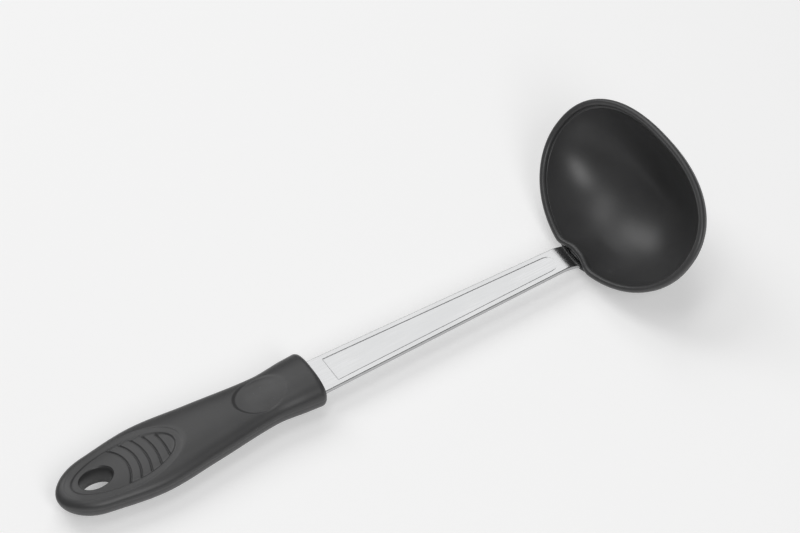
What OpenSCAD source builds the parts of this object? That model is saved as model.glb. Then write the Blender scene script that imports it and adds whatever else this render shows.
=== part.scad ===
// Soup ladle: a nylon bowl on a flat steel shaft with a moulded grip, lying on a table as it is put down.
// +X runs from the grip to the bowl, +Y across, +Z up; the origin is on the table under the middle.
// One strip of steel is pressed, tapered and bent, then the bowl and the grip are moulded round its ends.

/* [Overall] */
// Length from the tail of the grip to the front of the bowl
overall_length = 298.4; // [290:0.2:306]
// Height of the middle of the steel above the table
shaft_height = 9.8; // [9.6:0.1:10.2]

/* [Bowl] */
// Width across the rim, the long way
bowl_width = 97; // [90:1:102]
// Rim centre line to the edge nearest the shaft
bowl_near = 36.5; // [34:0.5:39]
// Rim centre line to the pouring edge
bowl_far = 32; // [29:0.5:34]
// Depth outside, square to the rim
bowl_depth = 32; // [29:0.5:34]
// How much the wall leans in below the rim on the pouring side
bowl_flare = 0.35; // [0:0.05:0.4]
// Wall thickness
bowl_wall = 2.2; // [1.8:0.1:2.8]
// Angle between the rim and the shaft
rim_tilt = 48; // [44:1:52]
// How far the rim bead stands out on each side of the wall
bead_proud = 0.5; // [0.3:0.1:0.9]
// Height of the rim bead
bead_height = 2.6; // [2:0.2:4]

/* [Shaft] */
// Steel thickness
steel = 2; // [1.5:0.1:2.2]
// Width where the shaft leaves the grip
shaft_wide = 18; // [16:0.5:19]
// Width at the bowl
shaft_narrow = 12.7; // [12:0.1:14]
// Angle the front end is bent down
bend_angle = 28; // [26:1:30]
// Bend radius to the middle of the steel
bend_radius = 20; // [16:1:22]
// Length of steel held in the bowl, past the bend
front_tang = 9; // [7:0.5:10]
// Length of steel held in the grip
rear_tang = 62; // [50:1:70]
// Width of the steel held in the grip
rear_tang_width = 13; // [11:0.5:15]
// Diameter of the holes the plastic flows through
key_hole = 4.5; // [3.5:0.5:5]
// Depth of the pressed panel
panel_depth = 0.3; // [0.2:0.1:0.5]
// Border left round the pressed panel
panel_border = 2.1; // [2:0.2:3]

/* [Grip] */
// Length of the grip
grip_length = 119; // [114:1:122]
// Widest half width, near the tail
grip_half_width = 16.8; // [15:0.2:17]
// Length of the hanging hole
hang_length = 14; // [12:0.5:15]
// Width of the hanging hole
hang_width = 8.4; // [7:0.2:9]
// Middle of the hanging hole from the tail
hang_from_tail = 17.5; // [16.5:0.5:19]
// Number of ribs cut in the tail pad
pad_ribs = 5; // [3:1:6]
// Spacing of the ribs
rib_pitch = 4.2; // [3.8:0.1:4.6]

/* [Hidden] */
$fn = 96;
nylon = [0.2, 0.2, 0.21];
satin_steel = [0.8, 0.81, 0.82];
grip_black = [0.24, 0.24, 0.25];

tail_x = -overall_length / 2;
collar_x = tail_x + grip_length;
shaft_top = shaft_height + steel / 2;

// The outside of the wall under the bead, as distances from the rim centre line.
side_outer = bowl_width / 2 - bead_proud;
near_outer = bowl_near - bead_proud;
far_outer = bowl_far - bead_proud;
// The bowl just touches the table, and its front, which is the leaning far wall, is the front of the ladle.
rim_z = sqrt(pow(near_outer * sin(rim_tilt), 2) + pow(bowl_depth * cos(rim_tilt), 2));
far_reach = max([
    for (t = [0:90])
        far_outer * cos(t) * (1 - bowl_flare * sin(t)) * cos(rim_tilt) + bowl_depth * sin(t) * sin(rim_tilt)
]);
rim_x = overall_length / 2 - far_reach;

// The front tang crosses the rim plane this far inside the near wall's outside; the bend brings it level.
entry_inset = 0.9;
entry = near_outer - entry_inset;
entry_x = rim_x - entry * cos(rim_tilt);
entry_z = rim_z - entry * sin(rim_tilt);
bend_corner_x = entry_x - (shaft_height - entry_z) / tan(bend_angle);
bend_start_x = bend_corner_x - bend_radius * tan(bend_angle / 2);
bend_end_x = bend_start_x + bend_radius * sin(bend_angle);
bend_end_z = shaft_height - bend_radius * (1 - cos(bend_angle));
// The wall thickens into a socket round the front tang: its inner and outer faces lie along the tang, at these
// distances from the rim centre line, across this half width, and the outer one fades out at this depth.
socket_half_width = 11;
socket_inner = 30.6;
socket_outer = 37.2;
socket_fade = 15;
// Number of flats the bend is made of.
bend_steps = 10;

// Grip stations: distance from the tail, share of the full half width, then the heights of the widest line,
// the top and the bottom, all from the steel's top face.
collar_top = 8.3;
stations = [
    [0, 0.66, -0.2, 3.4, -8.4],
    [15, 0.79, -0.3, 4.0, -9.8],
    [41, 1.00, -0.4, 5.0, -10.7],
    [67, 0.865, 0, 5.8, -9.6],
    [96, 0.695, 0.8, 6.6, -7.9],
    [110, 0.76, 0.6, 7.8, -8.2],
    [127, 0.82, 0, collar_top + 0.2, -9.0],
];
// The cross section's power: 2 is an ellipse, more is squarer.
section_power = 2.4;
section_points = 36;
// Lengths over which the tail rounds off at the sides, the top and the bottom, and how full the rounding is.
tail_round = 18;
tail_round_top = 9.5;
tail_round_bottom = 14.5;
tail_power = 2.2;
collar_round = 2.6;

// Slope of column c at station i, from its neighbours.
function slope(i, c) =
    let (a = stations[max(i - 1, 0)], b = stations[min(i + 1, len(stations) - 1)])
    (b[c] - a[c]) / (b[0] - a[0]);
function span(x) = max([for (i = [0:len(stations) - 2]) if (x >= stations[i][0]) i]);
// Smooth curve through the stations.
function along(x, c) =
    let (
        i = span(x),
        a = stations[i],
        b = stations[i + 1],
        l = b[0] - a[0],
        t = (x - a[0]) / l
    )
    a[c] * (1 + 2 * t) * pow(1 - t, 2) + b[c] * t * t * (3 - 2 * t)
        + slope(i, c) * l * t * pow(1 - t, 2) - slope(i + 1, c) * l * t * t * (1 - t);
// Rounding of the tail, 0 at the very end to 1 at the given length, and of the collar's edge.
function tail_factor(x, length) = x >= length ? 1 : sqrt(1 - pow(1 - x / length, tail_power));
function collar_inset(x) =
    let (into = x - (grip_length - collar_round))
    into <= 0 ? 0 : collar_round - sqrt(max(0, pow(collar_round, 2) - into * into));
function signed_power(v, p) = sign(v) * pow(abs(v), p);

function half_width(x) = grip_half_width * along(x, 1) * tail_factor(x, tail_round) - collar_inset(x);
function top_at(x) =
    along(x, 2) + (along(x, 3) - along(x, 2)) * tail_factor(x, tail_round_top) - collar_inset(x);
function bottom_at(x) =
    along(x, 2) + (along(x, 4) - along(x, 2)) * tail_factor(x, tail_round_bottom) + collar_inset(x);

// One cross section of the grip, as points in space.
function grip_ring(x) = [
    for (k = [0:section_points - 1])
        let (a = 360 * k / section_points, e = 2 / section_power, mid = along(x, 2), s = sin(a))
        [
            tail_x + x,
            half_width(x) * signed_power(cos(a), e),
            shaft_top + mid + (s > 0 ? top_at(x) - mid : mid - bottom_at(x)) * signed_power(s, e)
        ]
];
tail_cuts = [0.12, 0.5, 1.2, 2.2, 3.6, 5.4, 7.6, 10.2];
body_cuts = [for (x = [13.5:5.2:grip_length - collar_round - 1]) x];
collar_cuts = [for (k = [0:5]) grip_length - collar_round * (1 - sin(18 * k))];
cuts = concat(tail_cuts, body_cuts, collar_cuts);

module grip_body() {
    n = section_points;
    last = len(cuts) - 1;
    points = [for (x = cuts) each grip_ring(x)];
    walls = [
        for (i = [0:last - 1]) for (k = [0:n - 1])
            let (a = i * n + k, b = i * n + (k + 1) % n)
            each [[a, b, b + n], [a, b + n, a + n]]
    ];
    tail_cap = [[for (k = [0:n - 1]) n - 1 - k]];
    collar_cap = [[for (k = [0:n - 1]) last * n + k]];
    polyhedron(points = points, faces = concat(walls, tail_cap, collar_cap));
}

// Anything placed in the bowl's own frame: x out over the rim, z square to it, upward.
module in_bowl() {
    translate([rim_x, 0, rim_z])
        rotate([0, -rim_tilt, 0])
            children();
}

// The rim's outline as shares of the half length and half width: an ellipse by the shaft, squarer where it pours.
near_power = 2;
far_power = 2.3;
function outline(a) =
    let (e = 2 / (cos(a) > 0 ? far_power : near_power))
    [signed_power(cos(a), e), signed_power(sin(a), e)];
// Even step from 0 below the start to 1 above the end.
function smooth(v, start, end) =
    let (t = min(max((v - start) / (end - start), 0), 1))
    t * t * (3 - 2 * t);
// Share of the socket at this distance across: 1 along the middle, 0 beyond its sides.
function socket_share(y) = 1 - smooth(abs(y), socket_half_width * 0.45, socket_half_width);
// How far the tang leans from square to the rim, per millimetre of depth.
function tang_lean(depth) = depth * tan(90 - rim_tilt - bend_angle);

// The outside and the inside of the wall at an outline angle and a turn from the rim, 0, to the pole, 90.
function shell_point(a, turn, inset) =
    let (
        o = outline(a),
        ring = cos(turn) * (1 - bowl_flare * (1 + o[0]) / 2 * sin(turn)),
        y = (side_outer - inset) * ring * o[1],
        u = ((o[0] > 0 ? far_outer : near_outer) - inset) * ring * o[0],
        depth = (bowl_depth - inset) * sin(turn),
        share = o[0] < 0 ? socket_share(y) : 0,
        inner_face = tang_lean(depth) - socket_inner,
        outer_face = tang_lean(depth) - socket_outer,
        fade = share * (1 - smooth(depth, socket_fade / 2, socket_fade)),
        thick_u = inset > 0
            ? u + share * max(inner_face - u, 0)
            : u + fade * min(outer_face - u, 0)
    )
    [thick_u, y, -depth];
// A point of the bead round the rim: out from the wall's outside by this much, at this height.
function bead_point(a, out, height) =
    let (o = outline(a), y = (side_outer + out) * o[1], u = ((o[0] > 0 ? far_outer : near_outer) + out) * o[0])
    let (share = o[0] < 0 ? socket_share(y) : 0)
    [u + share * (out >= 0 ? min(-socket_outer - u, 0) : max(-socket_inner - u, 0)), y, height];

// Profile of the bead, from its inner foot over the rim to its outer foot, with a bevel at each shoulder.
bead_bevel = 0.7;
bead_profile = [
    [-bowl_wall - bead_proud, -bead_height],
    [-bowl_wall - bead_proud, -bead_bevel],
    [-bowl_wall, 0],
    [0, 0],
    [bead_proud, -bead_bevel],
    [bead_proud, -bead_height],
];

// Angles round the outline, closer together by the socket.
outline_angles = concat(
    [for (a = [0:7.5:142.5]) a],
    [for (a = [148:3.2:212]) a],
    [for (a = [217.5:7.5:352.5]) a]
);
inner_turns = [82, 73, 64, 55, 47, 39, 32, 25, 19, 13, 8];
outer_turns = [8, 13, 19, 25, 32, 40, 49, 58, 67, 76, 84];

// One ring of the bowl's surface, from the inside of the pole over the bead to the outside.
bowl_rings = concat(
    [for (t = inner_turns) [for (a = outline_angles) shell_point(a, t, bowl_wall)]],
    [for (p = bead_profile) [for (a = outline_angles) bead_point(a, p[0], p[1])]],
    [for (t = outer_turns) [for (a = outline_angles) shell_point(a, t, 0)]]
);

module bowl_body() {
    n = len(outline_angles);
    rings = len(bowl_rings);
    points = concat(
        [for (ring = bowl_rings) each ring],
        [[0, 0, bowl_wall - bowl_depth], [0, 0, -bowl_depth]]
    );
    walls = [
        for (i = [0:rings - 2]) for (k = [0:n - 1])
            let (a = i * n + k, b = i * n + (k + 1) % n)
            each [[a, b + n, b], [a, a + n, b + n]]
    ];
    inner_pole = [for (k = [0:n - 1]) [rings * n, k, (k + 1) % n]];
    outer_pole = [for (k = [0:n - 1]) [rings * n + 1, (rings - 1) * n + (k + 1) % n, (rings - 1) * n + k]];
    polyhedron(points = points, faces = concat(walls, inner_pole, outer_pole));
}

module bowl() {
    color(nylon)
        difference() {
            in_bowl()
                bowl_body();
            strip();
        }
}

// The strip seen from above: tapering from the grip to the bend, then straight, with the tang behind it.
module strip_plan() {
    polygon([
        [collar_x - 4, -shaft_wide / 2],
        [bend_start_x, -shaft_narrow / 2],
        [bend_end_x + front_tang * 2, -shaft_narrow / 2],
        [bend_end_x + front_tang * 2, shaft_narrow / 2],
        [bend_start_x, shaft_narrow / 2],
        [collar_x - 4, shaft_wide / 2],
    ]);
    translate([collar_x - rear_tang, -rear_tang_width / 2])
        square([rear_tang, rear_tang_width]);
}

// One long edge of the strip seen from the side, at a height above its middle, from the tail to the bowl.
function side_edge(height) = [
    [collar_x - rear_tang, shaft_height + height],
    for (k = [0:bend_steps])
        let (a = bend_angle * k / bend_steps, r = bend_radius + height)
        [bend_start_x + r * sin(a), shaft_height - bend_radius + r * cos(a)],
    [
        bend_end_x + height * sin(bend_angle) + front_tang * cos(bend_angle),
        bend_end_z + height * cos(bend_angle) - front_tang * sin(bend_angle)
    ]
];

function reversed(points) = [for (k = [len(points) - 1:-1:0]) points[k]];

// The steel strip: the side view pressed out sideways and trimmed to the view from above.
module strip() {
    difference() {
        intersection() {
            translate([0, shaft_wide, 0])
                rotate([90, 0, 0])
                    linear_extrude(height = 2 * shaft_wide)
                        polygon(concat(side_edge(-steel / 2), reversed(side_edge(steel / 2))));
            translate([0, 0, -bowl_depth])
                linear_extrude(height = 2 * bowl_depth)
                    strip_plan();
        }
        for (from_collar = [rear_tang * 0.35, rear_tang * 0.8])
            translate([collar_x - from_collar, 0, shaft_height - steel])
                cylinder(d = key_hole, h = 2 * steel);
        translate([bend_end_x, 0, bend_end_z])
            rotate([0, bend_angle, 0])
                translate([front_tang * 0.55, 0, -steel])
                    cylinder(d = key_hole, h = 2 * steel);
    }
}

// Shallow panel pressed in the top face: square at the grip, round at the bowl.
panel_from_collar = 9;
panel_from_bend = 7;
module panel() {
    start_x = collar_x + panel_from_collar;
    end_x = bend_start_x - panel_from_bend;
    start_half = shaft_wide / 2 - panel_border;
    end_half = shaft_narrow / 2 - panel_border;
    translate([0, 0, shaft_top - panel_depth])
        linear_extrude(height = panel_depth + 1) {
            polygon([[start_x, -start_half], [end_x, -end_half], [end_x, end_half], [start_x, start_half]]);
            translate([end_x, 0])
                circle(r = end_half);
        }
}

module shaft() {
    color(satin_steel)
        difference() {
            strip();
            panel();
        }
}

hang_x = tail_x + hang_from_tail;
thumb_x = tail_x + 94;
thumb_depth = 1;
thumb_half_length = 12;
thumb_half_width = 8.7;
thumb_dish = 20;

// The pad is an egg-shaped flat let into the tail, round the hanging hole, with its floor rising to the collar.
pad_x = tail_x + 33;
pad_tail = 26.5;
pad_tip = 20.8;
pad_half_width = 10.1;
pad_floor = 3.1;
pad_slope = 3.3;
rib_depth = 0.45;
rib_width = 0.6;
// The ribs are counted out from this radius, and all the pad's cutters stand this high above its floor.
rib_start = hang_length / 2 + 2.5;
pad_cut = 8;

// Anything placed on the pad's floor, level with it, with its origin at the hanging hole.
module on_pad() {
    translate([hang_x, 0, shaft_top + pad_floor])
        rotate([0, -pad_slope, 0])
            children();
}

// Half of a flat oval plate on one side of its widest line: side is 1 for the bowl end, -1 for the tail end.
module half_plate(long, wide, high, side) {
    intersection() {
        scale([long, wide, 1])
            cylinder(r = 1, h = high);
        translate([side > 0 ? 0 : -2 * long, -1.5 * wide, -1])
            cube([2 * long, 3 * wide, high + 2]);
    }
}

module pad(high) {
    translate([pad_x - hang_x, 0, 0]) {
        half_plate(pad_tip, pad_half_width, high, 1);
        half_plate(pad_tail, pad_half_width, high, -1);
    }
}

// A groove concentric with the hanging hole, on the side towards the bowl.
module rib(radius) {
    difference() {
        cylinder(r = radius, h = 1);
        translate([0, 0, -1])
            cylinder(r = radius - rib_width, h = 3);
        translate([-2 * radius, -2 * radius, -1])
            cube([2 * radius, 4 * radius, 3]);
    }
}

// All the ribs, trimmed to the pad's outline.
module ribs() {
    translate([0, 0, -rib_depth])
        intersection() {
            pad(pad_cut);
            union() {
                for (k = [1:pad_ribs])
                    rib(rib_start + rib_pitch * k);
            }
        }
}

// Upright oval bore through the tail with a bevel at the top.
module hang_hole() {
    bevel = 1.2;
    bevel_spread = 2.2;
    translate([hang_x, 0, -1])
        scale([hang_length / 2, hang_width / 2, 1])
            cylinder(r = 1, h = 3 * shaft_height);
    on_pad()
        translate([0, 0, -bevel])
            scale([hang_length / 2, hang_width / 2, 1])
                cylinder(r1 = 1, r2 = bevel_spread, h = 5 * bevel);
}

module thumb_rest() {
    top = shaft_top + top_at(thumb_x - tail_x);
    // An ellipsoid cut by the top face leaves an oval of the wanted size.
    grow = 1 / sqrt(1 - pow(1 - thumb_depth / thumb_dish, 2));
    translate([thumb_x, 0, top + thumb_dish - thumb_depth])
        scale([thumb_half_length * grow, thumb_half_width * grow, thumb_dish])
            sphere(r = 1);
}

module grip() {
    color(grip_black)
        difference() {
            grip_body();
            strip();
            hang_hole();
            thumb_rest();
            on_pad() {
                pad(pad_cut);
                ribs();
            }
        }
}

bowl();
shaft();
grip();
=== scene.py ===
import math

import bmesh
import bpy
import numpy as np
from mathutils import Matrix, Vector


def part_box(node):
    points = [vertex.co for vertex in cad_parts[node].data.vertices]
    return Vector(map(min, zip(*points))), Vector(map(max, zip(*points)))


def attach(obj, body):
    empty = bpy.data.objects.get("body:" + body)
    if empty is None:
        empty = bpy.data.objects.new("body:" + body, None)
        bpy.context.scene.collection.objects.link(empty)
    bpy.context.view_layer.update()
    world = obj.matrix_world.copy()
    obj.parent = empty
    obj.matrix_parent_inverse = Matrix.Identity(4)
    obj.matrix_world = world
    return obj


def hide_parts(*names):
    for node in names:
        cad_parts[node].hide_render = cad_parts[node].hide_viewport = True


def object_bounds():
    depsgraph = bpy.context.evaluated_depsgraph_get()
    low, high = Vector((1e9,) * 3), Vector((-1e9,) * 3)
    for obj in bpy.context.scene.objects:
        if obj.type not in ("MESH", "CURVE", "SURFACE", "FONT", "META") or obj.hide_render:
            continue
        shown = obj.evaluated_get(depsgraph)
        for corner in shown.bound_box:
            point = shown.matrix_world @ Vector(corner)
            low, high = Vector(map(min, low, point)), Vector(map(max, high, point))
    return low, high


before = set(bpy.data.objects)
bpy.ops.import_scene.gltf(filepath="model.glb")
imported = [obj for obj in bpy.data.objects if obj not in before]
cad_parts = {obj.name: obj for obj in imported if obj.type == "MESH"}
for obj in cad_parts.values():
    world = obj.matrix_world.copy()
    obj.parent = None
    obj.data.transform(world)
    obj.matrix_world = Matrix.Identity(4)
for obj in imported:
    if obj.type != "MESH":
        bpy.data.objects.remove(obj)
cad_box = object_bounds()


# ---------------------------------------------------------------------------------------------
# The steel strip. One flat stainless strip, 2 mm thick, tapered towards the bowl, with a shallow
# panel pressed in its top face. It is polished along its length and bent down into the bowl;
# both ends run on inside the plastic, which is moulded round them.
# ---------------------------------------------------------------------------------------------
mm = 0.001
tail_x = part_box("grip")[0][0] / mm
collar_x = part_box("grip")[1][0] / mm

steel = 2.0
steel_middle = 9.8
steel_top = steel_middle + steel / 2
shaft_wide = 18.0
shaft_narrow = 12.7
bend_start_x = tail_x + 238.66
bend_radius = 20.0
bend_angle = math.radians(28)
front_tang = 9.0
rear_tang = 62.0
strip_corner = 0.32
panel_border = 2.1
panel_depth = 0.12
panel_wall = 0.65
panel_start_x = collar_x + 8.3
panel_end_x = bend_start_x + 0.6
# Rows along the strip: far apart where it is plain, close together over the two ends of the panel.
plain_step = 3.0
panel_side_step = 2.2
square_end_step = 0.1
round_end_step = 0.2
bend_rows = 44
# Columns over each half of the top: shares of its flat middle, then distances in from the edge, which are
# close together over the side wall of the panel.
middle_inset = 3.0
middle_shares = (0.1, 0.3, 0.5, 0.7, 0.85)
edge_insets = (3.0, 2.8, 2.65, 2.5, 2.35, 2.2, 2.1, 2.0, 1.8, 1.5, 1.1, 0.7)


def smooth(value, start, end):
    """0 before start, 1 after end, and an even S-curve between; works on arrays."""
    t = np.clip((value - start) / (end - start), 0.0, 1.0)
    return t * t * (3 - 2 * t)


def grid_faces(rows, around):
    """Four-sided faces of a grid of points stored row by row, joined up round each row."""
    faces = []
    for i in range(rows - 1):
        for k in range(around):
            a = i * around + k
            b = i * around + (k + 1) % around
            faces.append((a, b, b + around, a + around))
    return faces


def mesh_object(name, points_mm, faces):
    """A smooth-shaded mesh object at the origin from points in millimetres."""
    mesh = bpy.data.meshes.new(name)
    mesh.from_pydata((np.asarray(points_mm) * mm).tolist(), [], faces)
    mesh.validate()
    mesh.update()
    mesh.polygons.foreach_set("use_smooth", [True] * len(mesh.polygons))
    piece = bpy.data.objects.new(name, mesh)
    bpy.context.scene.collection.objects.link(piece)
    return piece


def merge_and_turn_out(piece):
    """Merges points that fall together, as at a pole, and points all faces outwards."""
    work = bmesh.new()
    work.from_mesh(piece.data)
    bmesh.ops.remove_doubles(work, verts=work.verts, dist=1e-6)
    bmesh.ops.recalc_face_normals(work, faces=work.faces)
    work.to_mesh(piece.data)
    work.free()
    piece.data.update()


def strip_half_width(x):
    """Half the strip's width: full up to the collar, narrow from the bend on, tapering between."""
    taper = np.clip((x - collar_x) / (bend_start_x - collar_x), 0, 1)
    return (shaft_wide + (shaft_narrow - shaft_wide) * taper) / 2


def panel_mask(x, y):
    """1 on the floor of the pressed panel, 0 outside it: square at the grip, round at the bowl."""
    half = strip_half_width(x) - panel_border
    side = half - np.abs(y)
    end_half = strip_half_width(panel_end_x) - panel_border
    past = x - (panel_end_x - end_half)
    round_end = end_half - np.hypot(np.maximum(past, 0), y)
    inside = np.where(past > 0, round_end, np.minimum(side, x - panel_start_x))
    return smooth(inside, 0.0, panel_wall)


def strip_stations():
    """Rows of the strip: distance along the steel, then where its middle is and how far it is turned."""
    flat = list(np.arange(collar_x - rear_tang, panel_start_x - 1, plain_step))
    flat += list(np.arange(panel_start_x - 0.8, panel_start_x + 1.2, square_end_step))
    flat += list(np.arange(panel_start_x + 2, panel_end_x - 9, panel_side_step))
    flat += list(np.arange(panel_end_x - 8, bend_start_x - 0.05, round_end_step))
    stations = [(x, x, steel_middle, 0.0) for x in flat]
    for a in np.linspace(0, bend_angle, bend_rows):
        x = bend_start_x + bend_radius * math.sin(a)
        z = steel_middle - bend_radius * (1 - math.cos(a))
        stations.append((bend_start_x + bend_radius * a, x, z, a))
    along, x, z, a = stations[-1]
    stations.append((along + front_tang, x + front_tang * math.cos(a), z - front_tang * math.sin(a), a))
    return stations


def strip_section():
    """Points round the strip's cross section: side, share of the half width, inset from the edge, height."""
    top = steel / 2
    arc = np.radians(np.linspace(90, 0, 5))
    corner = [(strip_corner * (1 - math.cos(a)), top - strip_corner * (1 - math.sin(a))) for a in arc]
    right = [(share, middle_inset, top) for share in middle_shares]
    right += [(1, inset, top) for inset in edge_insets]
    right += [(1, inset, height) for inset, height in corner]
    right += [(1, inset, -height) for inset, height in reversed(corner)]
    right += [(1, 2.0, -top), (0.4, middle_inset, -top)]
    return [(1, *p) for p in right] + [(-1, *p) for p in reversed(right)]


def make_strip():
    """The strip, row by row, with the panel pressed in its top face."""
    stations = strip_stations()
    section = strip_section()
    points = []
    for along, x, z, a in stations:
        half = strip_half_width(x)
        for side, share, inset, height in section:
            y = side * share * (half - inset)
            h = height
            if math.isclose(height, steel / 2):
                h -= panel_depth * float(panel_mask(np.float64(along), np.float64(y)))
            points.append((x + h * math.sin(a), y, z + h * math.cos(a)))
    rows = len(stations)
    around = len(section)
    faces = grid_faces(rows, around)
    faces.append(tuple(range(around)))
    faces.append(tuple(reversed(range((rows - 1) * around, rows * around))))
    strip = mesh_object("steel_shaft", points, faces)
    merge_and_turn_out(strip)
    return strip


class Socket:
    """A node's output that can be used in sums like a number."""

    def __init__(self, graph, socket):
        self.graph = graph
        self.socket = socket

    def maths(self, operation, *values):
        inputs = {str(i): value for i, value in enumerate(values)}
        return self.graph.add("ShaderNodeMath", {"operation": operation}, inputs)

    def __add__(self, other):
        return self.maths("ADD", self, other)

    def __sub__(self, other):
        return self.maths("SUBTRACT", self, other)

    def __rsub__(self, other):
        return self.maths("SUBTRACT", other, self)

    def __mul__(self, other):
        return self.maths("MULTIPLY", self, other)

    def __truediv__(self, other):
        return self.maths("DIVIDE", self, other)

    def __pow__(self, other):
        return self.maths("POWER", self, other)

    def __gt__(self, other):
        return self.maths("GREATER_THAN", self, other)

    def __lt__(self, other):
        return self.maths("LESS_THAN", self, other)

    def ramp(self, start, end, to=(0, 1)):
        """Smooth step from start to end."""
        return self.graph.add(
            "ShaderNodeMapRange",
            {"interpolation_type": "SMOOTHSTEP"},
            {"Value": self, "From Min": start, "From Max": end, "To Min": to[0], "To Max": to[1]},
        )

    __radd__ = __add__
    __rmul__ = __mul__


class Graph:
    """A node tree that nodes are added to by type, settings and socket values."""

    def __init__(self, tree):
        self.tree = tree

    def add(self, kind, settings=None, values=None, out=0):
        node = self.tree.nodes.new(kind)
        for name, value in (settings or {}).items():
            setattr(node, name, value)
        for name, value in (values or {}).items():
            target = node.inputs[int(name)] if name.isdigit() else node.inputs[name]
            if isinstance(value, Socket):
                self.tree.links.new(value.socket, target)
            else:
                target.default_value = value
        return Socket(self, node.outputs[out])

    def noise(self, place, scale, detail=4.0, roughness=0.5, out="Fac"):
        return self.add(
            "ShaderNodeTexNoise", None,
            {"Vector": place, "Scale": scale, "Detail": detail, "Roughness": roughness}, out=out,
        )

    def colours(self, share, first, second):
        """A mix of two colours."""
        node = self.tree.nodes.new("ShaderNodeMix")
        node.data_type = "RGBA"
        self.tree.links.new(share.socket, node.inputs[0])
        for slot, value in ((6, first), (7, second)):
            if isinstance(value, Socket):
                self.tree.links.new(value.socket, node.inputs[slot])
            else:
                node.inputs[slot].default_value = (*value, 1)
        return Socket(self, node.outputs[2])


def new_material(name, **constants):
    """A material with constants on its one shader's sockets; returns it, its graph and the shader."""
    material = bpy.data.materials.new(name)
    material.use_nodes = True
    tree = material.node_tree
    shader = next(n for n in tree.nodes if n.type == "BSDF_PRINCIPLED")
    for key, value in constants.items():
        shader.inputs[key.replace("_", " ")].default_value = value
    return material, Graph(tree), shader


def place(graph, stretch=(1, 1, 1)):
    """Object coordinates, scaled along each axis."""
    here = graph.add("ShaderNodeTexCoord", out="Object")
    return graph.add("ShaderNodeMapping", None, {"Vector": here, "Scale": stretch})


def wire(graph, shader, **links):
    """Links values to the shader's sockets, which are named with _ for a space."""
    for key, value in links.items():
        graph.tree.links.new(value.socket, shader.inputs[key.replace("_", " ")])


def relief(graph, height, distance, strength=1.0):
    """A bump from a height that runs from 0 to 1, as deep as the distance in metres."""
    return graph.add("ShaderNodeBump", None, {"Height": height, "Distance": distance, "Strength": strength})


def steel_material():
    material, g, shader = new_material("polished_steel", Metallic=1.0)
    lengthways = g.noise(place(g, (60, 5200, 5200)), scale=1.0, detail=5, roughness=0.6)
    cloudy = g.noise(place(g, (40, 160, 160)), scale=1.0, detail=3)
    spots = g.noise(place(g, (1, 1, 1)), scale=900, detail=2)
    tone = g.colours(cloudy.ramp(0.3, 0.7), (0.5, 0.503, 0.507), (0.56, 0.562, 0.566))
    wire(
        g, shader,
        Base_Color=g.colours(lengthways.ramp(0.25, 0.8), (0.48, 0.483, 0.487), tone),
        Roughness=0.1 + 0.08 * lengthways + 0.04 * cloudy + 0.03 * spots,
        Normal=relief(g, lengthways, distance=0.00001, strength=0.5),
    )
    return material


shaft = make_strip()
shaft.data.materials.append(steel_material())
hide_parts("shaft")
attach(shaft, "root")


# ---------------------------------------------------------------------------------------------
# The bowl. A nylon moulding, a deep oval scoop with a bead round its rim, rounder towards the
# shaft and flatter at the pouring edge. Beside the shaft the wall thickens into a socket, moulded
# round the end of the strip, and the bead makes a small bay inward to pass it.
# ---------------------------------------------------------------------------------------------
rim_tilt = math.radians(48)
bowl_near = 36.0
bowl_far = 31.5
bowl_side = 48.0
bowl_depth = 32.0
bowl_wall = 2.2
bowl_flare = 0.35
rim_x = tail_x + 270.26
rim_z = math.hypot(bowl_near * math.sin(rim_tilt), bowl_depth * math.cos(rim_tilt))
# The bead: half its width and height, how square it is, and its middle, in from the wall's outside.
bead_half = 1.45
bead_tall = 1.5
bead_power = 2.1
bead_middle = 1.1
# The bay in the bead, the boss inside the wall and the socket outside it: all fade out sideways between these
# half widths, and the last two also downwards between these depths.
bay_flat = 1.5
bay_half_width = 12.2
bay_in = 3.2
boss_thick = 3.0
boss_fade = (2.0, 20.0)
socket_outer = -37.3
socket_lean = math.tan(math.radians(14))
socket_fade = (8.0, 15.0)
# Rows of the flat ledge outside the bay: place along the bowl, height on the ledge and on the plain wall.
ledge_down = 1.3
ledge_rows = (
    (bay_in - bowl_near - 0.35, -ledge_down, -2.35),
    (-bowl_near - 0.1, -ledge_down, -2.6),
    (-bowl_near - 0.7, -ledge_down - 0.25, -2.9),
    (socket_outer + 0.35, -ledge_down - 1.0, -3.3),
)
# Powers of the rim's two halves, where 2 is an ellipse and more is squarer.
near_power = 2.0
far_power = 2.3
bowl_around = 288
inner_turns = np.radians(np.linspace(90, 4, 64))
bead_turns = np.radians(np.linspace(215, -35, 26))
outer_turns = np.radians(np.linspace(7, 90, 58))


def signed_power(value, power):
    """A power that keeps the value's sign; works on arrays."""
    return np.sign(value) * np.abs(value) ** power


def outline(theta):
    """The rim's outline as a fraction of the half length and half width, squarer at the pouring edge."""
    c, s = np.cos(theta), np.sin(theta)
    power = np.where(c > 0, far_power, near_power)
    return signed_power(c, 2 / power), signed_power(s, 2 / power)


def reach(unit_u):
    """Distance from the rim's centre line to the pouring edge or to the edge by the shaft."""
    return np.where(unit_u > 0, bowl_far, bowl_near)


def bay_share(u, y):
    """How much of the bay and socket there is: 1 at the strip, 0 beyond its sides and where it pours."""
    return (1 - smooth(np.abs(y), bay_flat, bay_half_width)) * (u < 0)


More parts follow.
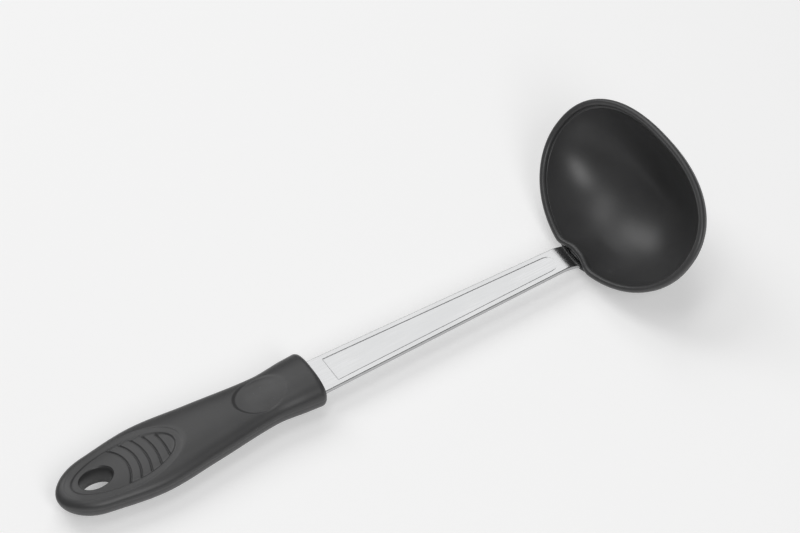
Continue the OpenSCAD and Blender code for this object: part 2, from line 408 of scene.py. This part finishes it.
# Each ring is given in the bowl's own frame: u out over the rim, y across, n square to the rim.
def wall_ring(theta, turn, inset):
    """A ring of the wall's outside, or of its inside at an inset; turn is 90 degrees at the pole."""
    unit_u, unit_y = outline(theta)
    ring = math.cos(turn) * (1 - bowl_flare * (1 + unit_u) / 2 * math.sin(turn))
    depth = (bowl_depth - inset) * math.sin(turn)
    y = (bowl_side - inset) * ring * unit_y
    u = (reach(unit_u) - inset) * ring * unit_u
    near = bay_share(u, y)
    if inset > 0:
        u = u + boss_thick * near * (1 - smooth(depth, *boss_fade))
    else:
        outwards = np.minimum(socket_outer + socket_lean * depth - u, 0)
        u = u + outwards * near * (1 - smooth(depth, *socket_fade))
    return u, y, np.full_like(u, -depth)


def bead_ring(theta, turn):
    """A ring of the bead, which turns from its inner foot over the top to its outer foot."""
    unit_u, unit_y = outline(theta)
    inset = bead_middle - bead_half * signed_power(math.cos(turn), 2 / bead_power)
    up = bead_tall * signed_power(math.sin(turn), 2 / bead_power)
    y = (bowl_side - inset) * unit_y
    u = (reach(unit_u) - inset) * unit_u
    return u + bay_in * bay_share(u, y), y, np.full_like(u, up - bead_tall)


def ledge_ring(theta, ledge_u, ledge_n, wall_n):
    """By the socket a step outside the bead; elsewhere it lies close on the wall."""
    unit_u, unit_y = outline(theta)
    y = bowl_side * unit_y
    u = reach(unit_u) * unit_u
    near = bay_share(u, y)
    return u * (1 - near) + ledge_u * near, y, wall_n * (1 - near) + ledge_n * near


def make_bowl():
    """The bowl, ring by ring from the inner pole over the rim to the outer pole."""
    theta = np.linspace(0, 2 * math.pi, bowl_around, endpoint=False)
    rings = [wall_ring(theta, turn, bowl_wall) for turn in inner_turns]
    rings += [bead_ring(theta, turn) for turn in bead_turns]
    rings += [ledge_ring(theta, *row) for row in ledge_rows]
    rings += [wall_ring(theta, turn, 0.0) for turn in outer_turns]
    c, s = math.cos(rim_tilt), math.sin(rim_tilt)
    points = []
    for u, y, n in rings:
        points += list(zip(rim_x + u * c - n * s, y, rim_z + u * s + n * c))
    bowl = mesh_object("bowl_moulding", points, grid_faces(len(rings), bowl_around))
    merge_and_turn_out(bowl)
    return bowl


def bowl_material():
    material, g, shader = new_material("bowl_nylon", IOR=1.5)
    grain = g.noise(place(g), scale=2600, detail=3, roughness=0.6)
    mottle = g.noise(place(g), scale=55, detail=4, roughness=0.55)
    fine = g.noise(place(g), scale=420, detail=4, roughness=0.6)
    scratch = g.noise(place(g, (900, 120, 500)), scale=1.0, detail=3, roughness=0.5)
    scuff = g.noise(place(g), scale=30, detail=3, roughness=0.5).ramp(0.58, 0.72) * scratch.ramp(0.62, 0.7)
    dark = g.colours(mottle.ramp(0.3, 0.7), (0.05, 0.05, 0.051), (0.058, 0.058, 0.059))
    wire(
        g, shader,
        Base_Color=g.colours(scuff * 0.5, dark, (0.09, 0.09, 0.09)),
        Roughness=0.31 + 0.06 * mottle + 0.05 * fine + 0.08 * scuff,
        Normal=relief(g, grain * 0.6 + fine * 0.4, distance=0.00004, strength=0.35),
    )
    return material


bowl = make_bowl()
bowl.data.materials.append(bowl_material())
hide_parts("bowl")
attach(bowl, "root")


# ---------------------------------------------------------------------------------------------
# The grip. One plastic moulding round the rear of the strip: a flattened palm end with an oval
# hanging hole and a let-in pad of curved ribs, a slim waist with a shallow thumb rest, and a
# rounded collar where the strip comes out. A fine parting line runs round its widest part.
# ---------------------------------------------------------------------------------------------
grip_length = collar_x - tail_x
grip_half = 16.8
# Distance from the tail, share of the half width, then the widest line, top and bottom from the steel's top.
grip_shape = np.array([
    (0, 0.66, -0.2, 3.4, -8.4),
    (15, 0.79, -0.3, 4.0, -9.8),
    (41, 1.00, -0.4, 5.0, -10.7),
    (67, 0.865, 0.0, 5.8, -9.6),
    (96, 0.695, 0.8, 6.6, -7.9),
    (110, 0.76, 0.6, 7.8, -8.2),
    (127, 0.82, 0.0, 8.5, -9.0),
])
# Lengths over which the tail rounds off at the sides, the top and the bottom, and how full the rounding is.
tail_round_side = 18.0
tail_round_top = 9.5
tail_round_bottom = 14.5
tail_power = 2.2
collar_round = 2.6
section_power = 2.4
parting_depth = 0.1
# More points over the top, where the pad and the thumb rest are, than underneath.
around_top = 164
around_bottom = 72
around_grip = around_top + around_bottom
# Rows over the rounded tail and collar, then where the rows of each stretch between begin and how far apart
# they are.
tail_start = 0.004
tail_end = 14
tail_rows = 56
collar_rows = 14
pad_rows = (14.3, 0.28)
waist_rows = (60.3, 0.7)
thumb_rows = (80.3, 0.45)
row_gap = 0.3
# The hanging hole: half its length and width, and how far its rounded top lip and flared bottom mouth spread.
hole_x = tail_x + 17.5
hole_long = 7.4
hole_wide = 4.9
hole_lip = 0.5
hole_mouth = 2.8
hole_top = steel_top + 3.1
hole_bottom = steel_top - 9.7
hole_around = 160
# The details in the top face, in millimetres.
rib_count = 5
top_details = {
    "Hole X": hole_x,
    "Pad Middle": tail_x + 33,
    "Pad Tail": 26.8,
    "Pad Tip": 20.9,
    "Pad Half Width": 10.2,
    "Pad Depth": 1.0,
    "Border": 2.6,
    "Rib Start": 13.9,
    "Rib Pitch": 4.28,
    "Rib Depth": 0.6,
    "Thumb X": tail_x + 94,
    "Thumb Half Length": 12.2,
    "Thumb Half Width": 8.9,
    "Thumb Depth": 1.5,
}


def along_grip(x, column):
    """Smooth curve through the grip's stations."""
    at, value = grip_shape[:, 0], grip_shape[:, column]
    i = int(np.clip(np.searchsorted(at, x, side="right") - 1, 0, len(at) - 2))
    lo, hi = max(i - 1, 0), min(i + 2, len(at) - 1)
    slope_a = (value[i + 1] - value[lo]) / (at[i + 1] - at[lo])
    slope_b = (value[hi] - value[i]) / (at[hi] - at[i])
    length = at[i + 1] - at[i]
    t = (x - at[i]) / length
    start = value[i] * (1 + 2 * t) * (1 - t) ** 2 + value[i + 1] * t * t * (3 - 2 * t)
    return start + slope_a * length * t * (1 - t) ** 2 - slope_b * length * t * t * (1 - t)


def tail_factor(x, length):
    """Rounding of the tail: 0 at its very end, 1 from the given length on."""
    return 1.0 if x >= length else math.sqrt(max(0.0, 1 - (1 - x / length) ** tail_power))


def collar_inset(x):
    """How far the collar's rounded edge draws the surface in."""
    into = x - (grip_length - collar_round)
    return 0.0 if into <= 0 else collar_round - math.sqrt(max(0.0, collar_round**2 - into**2))


def grip_ring(x):
    """One cross section of the grip, at a distance from the tail."""
    top_angles = np.linspace(0, math.pi, around_top, endpoint=False)
    bottom_angles = np.linspace(math.pi, 2 * math.pi, around_bottom, endpoint=False)
    angle = np.concatenate([top_angles, bottom_angles])
    c, s = np.cos(angle), np.sin(angle)
    mid = along_grip(x, 2)
    half = grip_half * along_grip(x, 1) * tail_factor(x, tail_round_side) - collar_inset(x)
    top = (along_grip(x, 3) - mid) * tail_factor(x, tail_round_top) - collar_inset(x)
    bottom = (mid - along_grip(x, 4)) * tail_factor(x, tail_round_bottom) - collar_inset(x)
    # The line where the two halves of the mould met.
    half = half - parting_depth * np.isin(np.arange(around_grip), (0, around_top))
    y = half * signed_power(c, 2 / section_power)
    z = mid + np.where(s > 0, top, bottom) * signed_power(s, 2 / section_power)
    return np.stack([np.full_like(y, tail_x + x), y, steel_top + z], 1)


def grip_stations():
    """Distances of the rows from the tail, closest together at its very end and over the pad."""
    tail = tail_end * np.linspace(0, 1, tail_rows) ** tail_power + tail_start
    pad = np.arange(pad_rows[0], waist_rows[0] - row_gap, pad_rows[1])
    waist = np.arange(waist_rows[0], thumb_rows[0] - row_gap, waist_rows[1])
    thumb = np.arange(thumb_rows[0], grip_length - collar_round, thumb_rows[1])
    collar = grip_length - collar_round * (1 - np.sin(np.linspace(0, math.pi / 2, collar_rows)))
    return np.concatenate([tail, pad, waist, thumb, collar])


def make_grip():
    """The plain grip, row by row, with a point at the middle of each end."""
    stations = grip_stations()
    points = np.concatenate([grip_ring(x) for x in stations])
    rows = len(stations)
    faces = grid_faces(rows, around_grip)
    end = [tail_x + grip_length, 0, steel_top]
    start = [tail_x, 0, steel_top]
    points = np.concatenate([points, [start, end]])
    first, last = rows * around_grip, rows * around_grip + 1
    for k in range(around_grip):
        nxt = (k + 1) % around_grip
        faces.append((first, nxt, k))
        faces.append((last, (rows - 1) * around_grip + k, (rows - 1) * around_grip + nxt))
    grip = mesh_object("grip_moulding", points, faces)
    merge_and_turn_out(grip)
    return grip


def geometry_tree(name, inputs):
    """A Geometry Nodes tree with named number inputs; returns its graph, the inputs and the geometry."""
    tree = bpy.data.node_groups.new(name, "GeometryNodeTree")
    tree.interface.new_socket("Geometry", in_out="INPUT", socket_type="NodeSocketGeometry")
    for key in inputs:
        tree.interface.new_socket(key, in_out="INPUT", socket_type="NodeSocketFloat")
    tree.interface.new_socket("Geometry", in_out="OUTPUT", socket_type="NodeSocketGeometry")
    g = Graph(tree)
    entry = tree.nodes.new("NodeGroupInput")
    sockets = {key: Socket(g, entry.outputs[key]) for key in inputs}
    return g, sockets, Socket(g, entry.outputs["Geometry"])


def oval(x, y, half_x, half_y):
    """Distance from the middle of an oval: 1 on its outline, less inside."""
    return ((x / half_x) ** 2 + (y / half_y) ** 2) ** 0.5


def pad_outline(size, x, y, border=0.0):
    """Distance from the middle of the egg-shaped pad, widened by a border: 1 on its outline."""
    along = x - size["Pad Middle"]
    length = (along > 0) * size["Pad Tip"] + (along < 0) * size["Pad Tail"]
    return oval(along, y, length + border, size["Pad Half Width"] + border)


def pad_drop(size, x, y):
    """How far the pad lies down: a gentle slope, a fine border line and a short wall."""
    egg = pad_outline(size, x, y)
    line = pad_outline(size, x, y, size["Border"]).ramp(1.0, 0.985)
    return (line * 0.12 + egg.ramp(1.25, 1.0) * 0.4 + egg.ramp(1.0, 0.955) * 0.5) * size["Pad Depth"]


def rib_drop(size, x, y):
    """The ribs, like overlapping scales: each climbs over its pitch, then drops into a fine groove."""
    from_hole = x - size["Hole X"]
    turns = ((from_hole**2 + y**2) ** 0.5 - size["Rib Start"]) / size["Rib Pitch"]
    within = (turns > 0) * (turns < rib_count)
    # The added whole number keeps the sum above zero, so that its fraction always climbs outwards.
    share = turns.maths("FRACT", turns + 10)
    step = share.ramp(0.0, 0.06)
    groove = step * share.ramp(0.2, 0.1)
    drop = (step * (1 - share) * 0.5 + groove * 0.9) * within
    towards_bowl = from_hole.ramp(0.0, 6.0 * mm)
    return drop * towards_bowl * pad_outline(size, x, y).ramp(0.97, 0.9) * size["Rib Depth"]


def thumb_drop(size, x, y):
    """The thumb rest: a crisp lip and a soft slope inside it, fading out towards the bowl."""
    dish = oval(x - size["Thumb X"], y, size["Thumb Half Length"], size["Thumb Half Width"])
    fade = (size["Thumb X"] - x).ramp(-14.0 * mm, 12.0 * mm, (0.08, 1.0))
    return (dish.ramp(1.03, 0.88) * 0.6 + dish.ramp(0.98, 0.5) * 0.4) * fade * size["Thumb Depth"]


def settle(piece):
    """Turns a piece's modifiers into a plain mesh and removes them."""
    bpy.context.view_layer.update()
    evaluated = piece.evaluated_get(bpy.context.evaluated_depsgraph_get())
    mesh = bpy.data.meshes.new_from_object(evaluated)
    piece.modifiers.clear()
    piece.data = mesh


def press_details(grip, plastic):
    """Lets the pad, its ribs and the thumb rest into the top face by moving points down."""
    g, size, body = geometry_tree("grip_top_details", top_details)
    split = g.add("ShaderNodeSeparateXYZ", None, {"0": g.add("GeometryNodeInputPosition")})
    x, y = (Socket(g, split.socket.node.outputs[i]) for i in range(2))
    normal_z = g.add("ShaderNodeSeparateXYZ", None, {"0": g.add("GeometryNodeInputNormal")}, out=2)
    upward = normal_z.ramp(0.15, 0.45)
    down = pad_drop(size, x, y) + rib_drop(size, x, y) + thumb_drop(size, x, y)
    offset = g.add("ShaderNodeCombineXYZ", None, {"2": (0 - down) * upward})
    moved = g.add("GeometryNodeSetPosition", None, {"Geometry": body, "Offset": offset})
    real = g.add("GeometryNodeRealizeInstances", None, {"Geometry": moved})
    dressed = g.add("GeometryNodeSetMaterial", None, {"Geometry": real, "Material": plastic})
    leave = g.tree.nodes.new("NodeGroupOutput")
    g.tree.links.new(dressed.socket, leave.inputs["Geometry"])
    modifier = grip.modifiers.new("details", "NODES")
    modifier.node_group = g.tree
    for item in g.tree.interface.items_tree:
        if item.in_out == "INPUT" and item.name in top_details:
            modifier[item.identifier] = top_details[item.name] * mm
    settle(grip)


def hole_cutter():
    """A tapering oval plug with flared mouths, which leaves rounded lips where it is cut away."""
    flare = np.radians(np.linspace(8, 90, 9))
    rows = [(hole_bottom - 5, hole_mouth), (hole_bottom, hole_mouth)]
    rows += [(hole_bottom + hole_mouth * math.sin(a), hole_mouth * (1 - math.sin(a))) for a in flare]
    rows += [(hole_top - hole_lip * math.sin(a), hole_lip * (1 - math.sin(a))) for a in flare[::-1]]
    rows += [(hole_top, hole_lip), (hole_top + 8, hole_lip)]
    theta = np.linspace(0, 2 * math.pi, hole_around, endpoint=False)
    points = []
    for z, grow in rows:
        x = hole_x + (hole_long + grow) * np.cos(theta)
        y = (hole_wide + grow) * np.sin(theta)
        points += list(zip(x, y, np.full_like(x, z)))
    faces = grid_faces(len(rows), hole_around)
    faces.append(tuple(reversed(range(hole_around))))
    faces.append(tuple(range((len(rows) - 1) * hole_around, len(rows) * hole_around)))
    cutter = mesh_object("hole_cutter", points, faces)
    merge_and_turn_out(cutter)
    return cutter


def cut_hole(grip):
    """Cuts the hanging hole through the tail."""
    cutter = hole_cutter()
    modifier = grip.modifiers.new("hanging_hole", "BOOLEAN")
    modifier.operation = "DIFFERENCE"
    modifier.solver = "EXACT"
    modifier.object = cutter
    settle(grip)
    bpy.data.objects.remove(cutter)
    grip.data.polygons.foreach_set("use_smooth", [True] * len(grip.data.polygons))


def grip_material():
    material, g, shader = new_material("grip_plastic", IOR=1.5)
    grain = g.noise(place(g), scale=2200, detail=3, roughness=0.6)
    mottle = g.noise(place(g), scale=48, detail=4, roughness=0.55)
    fine = g.noise(place(g), scale=500, detail=4, roughness=0.6)
    dust = g.noise(place(g), scale=1100, detail=1, roughness=0.5).ramp(0.79, 0.83)
    dark = g.colours(mottle.ramp(0.3, 0.7), (0.046, 0.046, 0.047), (0.054, 0.054, 0.055))
    wire(
        g, shader,
        Base_Color=g.colours(dust * 0.5, dark, (0.2, 0.2, 0.2)),
        Roughness=0.35 + 0.06 * mottle + 0.05 * fine,
        Normal=relief(g, grain * 0.6 + fine * 0.4, distance=0.00005, strength=0.35),
    )
    return material


grip_plastic = grip_material()
grip = make_grip()
press_details(grip, grip_plastic)
cut_hole(grip)
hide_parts("grip")
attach(grip, "root")


# ---------------------------------------------------------------------------------------------
# The table and the light. A plain pale floor, a dim white room and four large soft lamps. The
# strip mirrors the first; the other three stand in an arc from the far side over the top to the
# near side, and make the highlights inside the bowl.
# ---------------------------------------------------------------------------------------------
floor_half = 4.0
floor_gap = 0.0001


def make_floor():
    """A pale square just under the ladle, which also glows a little, like paper lit from all round."""
    mesh = bpy.data.meshes.new("floor")
    corners = [(x * floor_half, y * floor_half, 0) for x, y in ((-1, -1), (1, -1), (1, 1), (-1, 1))]
    mesh.from_pydata(corners, [], [(0, 1, 2, 3)])
    floor = bpy.data.objects.new("floor", mesh)
    bpy.context.scene.collection.objects.link(floor)
    floor.location.z = cad_box[0][2] - floor_gap
    material, _, shader = new_material("pale_floor", Roughness=0.75)
    shader.inputs["Base Color"].default_value = (0.72, 0.72, 0.72, 1)
    shader.inputs["Emission Color"].default_value = (1, 1, 1, 1)
    shader.inputs["Emission Strength"].default_value = 0.36
    mesh.materials.append(material)
    return floor


def lamp(name, place_at, aim, size, power):
    """A soft rectangular lamp, in metres and watts."""
    data = bpy.data.lights.new(name, "AREA")
    data.shape = "RECTANGLE"
    data.size, data.size_y = size
    data.energy = power
    light = bpy.data.objects.new(name, data)
    bpy.context.scene.collection.objects.link(light)
    light.location = place_at
    light.rotation_euler = (Vector(aim) - Vector(place_at)).to_track_quat("-Z", "Y").to_euler()


make_floor()
middle = (0.0, 0.0, 0.0)
lamp("lamp_steel", place_at=(0.55, 0.85, 1.15), aim=middle, size=(0.8, 0.9), power=3.1)
lamp("lamp_back", place_at=(-0.25, 0.95, 1.1), aim=(0.1, 0.0, 0.0), size=(0.6, 1.0), power=5.4)
lamp("lamp_over", place_at=(-0.1, -0.05, 1.5), aim=middle, size=(0.4, 1.1), power=3.6)
lamp("lamp_near", place_at=(-0.15, -1.08, 1.05), aim=middle, size=(0.45, 0.8), power=6.8)
world = bpy.data.worlds.new("pale_room")
bpy.context.scene.world = world
world.use_nodes = True
room = world.node_tree.nodes["Background"]
room.inputs["Color"].default_value = (1, 1, 1, 1)
room.inputs["Strength"].default_value = 0.13
bpy.context.scene.view_settings.view_transform = "Standard"


# ---------------------------------------------------------------------------------------------
# The camera. A long lens, well back, over the near side of the grip and looking down along the
# ladle to the bowl, as a catalogue shows it.
# ---------------------------------------------------------------------------------------------
azimuth = math.radians(-32.21)
elevation = math.radians(49.07)
distance = 1.5
aim = Vector(((tail_x + 181.6) * mm, 0.0321, steel_top * mm))
back = Vector((
    math.sin(azimuth) * math.cos(elevation),
    -math.cos(azimuth) * math.cos(elevation),
    math.sin(elevation),
))
camera_data = bpy.data.cameras.new("camera")
camera_data.lens = 160.07
camera_data.sensor_width = 36
camera_data.clip_end = 20
camera = bpy.data.objects.new("camera", camera_data)
bpy.context.scene.collection.objects.link(camera)
camera.location = aim + back * distance
camera.rotation_euler = back.to_track_quat("Z", "Y").to_euler()
bpy.context.scene.camera = camera
